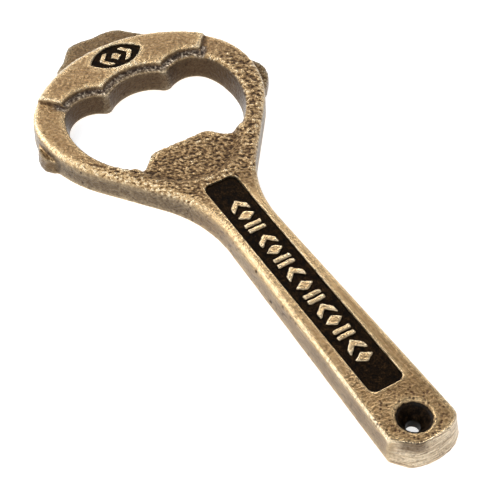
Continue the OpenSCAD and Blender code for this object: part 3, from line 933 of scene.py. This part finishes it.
def bronze():
    """Aged cast bronze: patina low down, bright metal where it is worn, pits and grinding lines; painted
    shade on the walls and along the grip's step, and a painted highlight on the near top edge.
    """
    n = Nodes("aged_bronze")
    grain, hollow, ridge, pits = (n.attribute(a) for a in ("grain", "hollow", "ridge", "pits"))
    coarse, side, handle, strip = (n.attribute(a) for a in ("coarse", "side", "handle", "strip"))
    ground, groove, inner, near_edge_highlight = (n.attribute(a) for a in ("ground", "groove", "inner_wall", "near_edge_highlight"))
    streaks = n.noise(1.55, 2, 0.55, n.stretched(STREAK, 1.3))
    fine = n.noise(3.0, 2, 0.6)
    broad = n.noise(0.13, 3, 0.5)
    brushed = n.noise(3.0, 3, 0.6, n.stretched((1, 0), 14))
    ground_lines = n.noise(2.6, 3, 0.65, n.scaled((0.03, 0.07, 1.0)))

    # small pits, in clusters
    clusters = n.ramp(n.noise(0.40, 2, 0.5), (0.40, 0.0), (0.54, 1.0))
    top_pits = n.ramp(n.cells(0.95, "2D"), (0.22, 1.0), (0.34, 0.0))
    wall_pits = n.ramp(n.cells(1.1), (0.26, 1.0), (0.40, 0.0))
    small_pits = n.blend(side, top_pits, wall_pits)
    small_pits = n.math("MULTIPLY", small_pits, n.math("MULTIPLY", n.attribute("pitted"), clusters))

    # one number for how high the metal stands: low is dark with patina, high is worn bright; a painted
    # highlight and a painted shade line are added to it too
    level = n.math("MULTIPLY", n.math("SUBTRACT", streaks, 0.5), n.line(coarse, 0.95, 0.34))
    level = n.plus(level, n.math("SUBTRACT", fine, 0.5), n.line(coarse, 0.25, 0.25))
    level = n.plus(level, grain, n.line(coarse, 0.22, 0.14))
    level = n.math("MULTIPLY", level, n.line(handle, -0.55, 1.0))
    for value, share in (
        (ridge, 0.42),
        # painted highlight along the near top edge
        (near_edge_highlight, 0.14),
        # painted shade at the foot of the grip's step
        (n.attribute("step_shade"), -0.42),
        (hollow, n.line(coarse, -0.22, -0.10)),
        (coarse, -0.06),
        (pits, -0.35),
        (n.math("SUBTRACT", broad, 0.5), 0.25),
    ):
        level = n.plus(level, value, share)
    level = n.math("ADD", level, 0.5, clamp=True)

    # colour, from the widest kind of surface to the smallest mark
    # side walls take the darker copy, a little less on the handle: painted shade
    wall_shade_share = n.math("MULTIPLY", side, n.line(handle, -0.30, 0.95))
    colour = n.blend(wall_shade_share, n.ramp(level, *TOP_TONES), n.ramp(level, *SHADED_WALL_TONES))
    for mask, share, tone in (
        # painted shade on the opening's inner walls
        (inner, 0.72, INNER_WALL_SHADE),
        (n.attribute("outside"), 0.75, LOBE_TONE),
        (ground, 0.85, n.ramp(ground_lines, *GROUND_TONES)),
        (n.attribute("facet"), 0.8, FACET_TONE),
        (groove, 0.8, n.ramp(n.noise(1.5, 2, 0.6), *FLECK_TONES)),
        (small_pits, 0.85, PIT_TONE),
    ):
        colour = n.blend(n.math("MULTIPLY", mask, share), colour, tone)
    lines_share = n.line(n.math("MAXIMUM", strip, n.math("MULTIPLY", side, 0.7)), 0.6, 0.25)
    colour = n.blend(lines_share, colour, n.ramp(brushed, (0.3, 0.55), (0.7, 1.3)), "MULTIPLY")
    n.put(n.shader.inputs["Base Color"], colour)
    n.put(n.shader.inputs["Roughness"], n.ramp(level, *BRONZE_GLOSS))
    n.shader.inputs["Metallic"].default_value = 0.85

    # relief too fine for the mesh
    height = n.math("MULTIPLY", streaks, n.line(coarse, 0.5, 1.4))
    for mask, loss in ((handle, -0.75), (near_edge_highlight, -0.75), (side, -0.6)):
        height = n.math("MULTIPLY", height, n.line(mask, loss, 1.0))
    height = n.plus(height, fine, 0.22)
    height = n.plus(height, small_pits, -0.15)
    height = n.plus(height, brushed, n.math("MULTIPLY", lines_share, 0.5))
    height = n.plus(height, ground_lines, n.math("MULTIPLY", ground, 0.8))
    n.put(n.shader.inputs["Normal"], n.bump(height, 0.50, 1.0))
    return n.material


def enamel(name, gloss, shine):
    """Black enamel with a faint brown mottle."""
    n = Nodes(name)
    mottle = n.noise(0.9, 4, 0.6)
    specks = n.noise(3.5, 3, 0.6)
    n.put(n.shader.inputs["Base Color"], n.ramp(n.math("MULTIPLY", mottle, specks), *ENAMEL_TONES))
    n.put(n.shader.inputs["Roughness"], n.ramp(mottle, (0.3, gloss), (0.7, gloss + 0.25)))
    n.shader.inputs["IOR"].default_value = 1.5
    n.shader.inputs["Specular IOR Level"].default_value = shine
    n.put(n.shader.inputs["Normal"], n.bump(n.plus(mottle, specks, 0.4), 0.08, 0.6))
    return n.material


# ---------------------------------------------------------------- assembly

body = cast_body()
body.data.materials.append(bronze())
panel = enamel_piece("handle_panel_black", "panel", panel_lo, panel_hi, "motif", 0.2)
panel.data.materials.append(enamel("panel_enamel", 0.55, 0.02))
emblem = enamel_piece("emblem_black", "lens", emblem_lo, emblem_hi, "sign", 0.15)
emblem.data.materials.append(enamel("emblem_enamel_mottled", 0.55, 0.02))
lining = hole_lining()
lining.data.materials.append(enamel("hole_enamel_gloss", 0.3, 0.08))
for piece, node, slot in (
    (body, "cast_body", "aged_bronze"),
    (panel, "handle_panel_enamel", "black_enamel"),
    (emblem, "emblem_enamel", "black_enamel"),
    (lining, "hole_enamel", "black_enamel"),
):
    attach(piece, "root")
    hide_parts(node)

# ---------------------------------------------------------------- floor, light and camera

FLOOR_SIZE, FLOOR_GAP = 3.0, 0.0002
bpy.ops.mesh.primitive_plane_add(size=FLOOR_SIZE, location=(0, 0, -FLOOR_GAP))
floor = bpy.context.object
floor.name = "floor"
paper = Nodes("floor_white")
paper.shader.inputs["Base Color"].default_value = (0.92, 0.92, 0.92, 1)
paper.shader.inputs["Roughness"].default_value = 0.9
paper.shader.inputs["Emission Color"].default_value = (1, 1, 1, 1)
paper.shader.inputs["Emission Strength"].default_value = 0.65
floor.data.materials.append(paper.material)

CAMERA_AZIMUTH, CAMERA_ELEVATION = math.radians(-31.882), math.radians(49.249)
CAMERA_ROLL = math.radians(0.0735)
CAMERA_DISTANCE, CAMERA_TARGET = 329.39, (7.02, -2.085, 0.0)
SENSOR, LENS = 36.0, 100.53

back = Vector((
    math.cos(CAMERA_ELEVATION) * math.cos(CAMERA_AZIMUTH),
    math.cos(CAMERA_ELEVATION) * math.sin(CAMERA_AZIMUTH),
    math.sin(CAMERA_ELEVATION),
))
right = Vector((-math.sin(CAMERA_AZIMUTH), math.cos(CAMERA_AZIMUTH), 0))
rise = back.cross(right)
c, s = math.cos(CAMERA_ROLL), math.sin(CAMERA_ROLL)
right, rise = c * right + s * rise, c * rise - s * right
camera = bpy.data.objects.new("camera", bpy.data.cameras.new("camera"))
camera.data.sensor_width = SENSOR
camera.data.lens = LENS
camera.data.clip_start, camera.data.clip_end = 0.01, 10
place = (Vector(CAMERA_TARGET) + back * CAMERA_DISTANCE) * MM
turn = Matrix((right, rise, back)).transposed()
camera.matrix_world = Matrix.Translation(place) @ turn.to_4x4()
bpy.context.scene.collection.objects.link(camera)
bpy.context.scene.camera = camera


def softbox(name, place, size, watts):
    """A rectangular light at a place in metres that faces the middle of the scene."""
    light = bpy.data.objects.new(name, bpy.data.lights.new(name, "AREA"))
    light.data.shape = "RECTANGLE"
    light.data.size, light.data.size_y = size
    light.data.energy = watts
    light.location = place
    light.rotation_mode = "QUATERNION"
    light.rotation_quaternion = Vector(place).to_track_quat("Z", "Y")
    bpy.context.scene.collection.objects.link(light)


softbox("front", (0.42, -0.62, 0.92), (1.3, 1.0), 6)
softbox("left_low", (-0.75, -0.85, 0.50), (0.8, 0.4), 3.2)
softbox("left_near", (-0.30, -0.12, 0.22), (0.2, 0.2), 0.40)
softbox("back", (-0.80, 0.50, 0.62), (0.45, 0.22), 3.2)

# the room's own light: white walls under a darker ceiling
world = bpy.data.worlds.new("studio")
bpy.context.scene.world = world
world.use_nodes = True
tree = world.node_tree
sky = tree.nodes["Background"]
coords = tree.nodes.new("ShaderNodeTexCoord")
split = tree.nodes.new("ShaderNodeSeparateXYZ")
ramp = tree.nodes.new("ShaderNodeValToRGB")
tree.links.new(coords.outputs["Generated"], split.inputs[0])
tree.links.new(split.outputs["Z"], ramp.inputs[0])
tree.links.new(ramp.outputs[0], sky.inputs["Color"])
ramp.color_ramp.elements[0].position, ramp.color_ramp.elements[1].position = 0.35, 0.75
ramp.color_ramp.elements[0].color = (1.0, 1.0, 1.0, 1)
ramp.color_ramp.elements[1].color = (0.16, 0.165, 0.18, 1)
sky.inputs["Strength"].default_value = 1.0
bpy.context.scene.view_settings.view_transform = "Standard"
